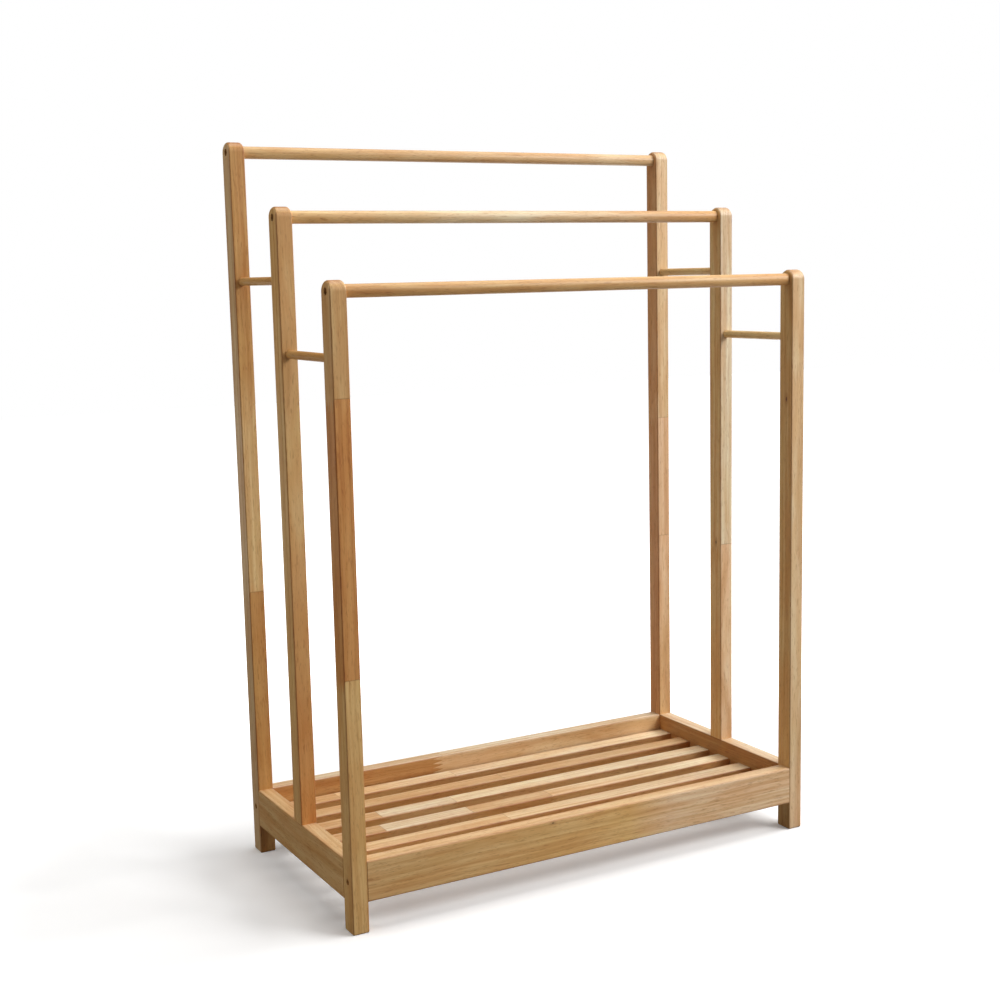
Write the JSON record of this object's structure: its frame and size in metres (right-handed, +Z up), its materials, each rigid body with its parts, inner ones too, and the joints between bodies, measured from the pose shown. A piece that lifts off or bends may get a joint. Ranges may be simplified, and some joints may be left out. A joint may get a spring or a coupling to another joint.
{
  "type": "freestanding towel stand",
  "caption": "Freestanding wooden towel stand: round bars stepped up from front to back between square posts, short side rungs, and a low slatted shelf inside a frame of rails.",
  "frame": {"origin": "on the floor, at the middle of the footprint", "axes": "+X along the towel bars to the right as seen from the front, +Y to the back (the tall side), +Z up"},
  "size_m": [0.646, 0.32, 0.9],
  "materials": {
    "posts": "oiled, satin",
    "round_bars": "oiled, satin",
    "rails": "oiled, satin",
    "slats": "oiled, satin",
    "dowels": "unfinished",
    "screws": "dark zinc"
  },
  "bodies": {
    "root": {"front_left_post": "posts", "front_right_post": "posts", "middle_left_post": "posts", "middle_right_post": "posts", "back_left_post": "posts", "back_right_post": "posts", "front_towel_bar": "round_bars", "middle_towel_bar": "round_bars", "back_towel_bar": "round_bars", "lower_left_rung": "round_bars", "lower_right_rung": "round_bars", "upper_left_rung": "round_bars", "upper_right_rung": "round_bars", "front_rail": "rails", "back_rail": "rails", "left_side_rail": "rails", "right_side_rail": "rails", "slat_1": "slats", "slat_2": "slats", "slat_3": "slats", "slat_4": "slats", "slat_5": "slats", "slat_6": "slats", "left_slat_cleat": "slats", "right_slat_cleat": "slats", "bar_screws": "screws", "rail_screws": "screws", "slat_screws": "screws", "cleat_screws": "screws", "rail_dowels": "dowels", "side_rail_dowels": "dowels", "middle_post_dowels": "dowels"}
  },
  "joints": []
}
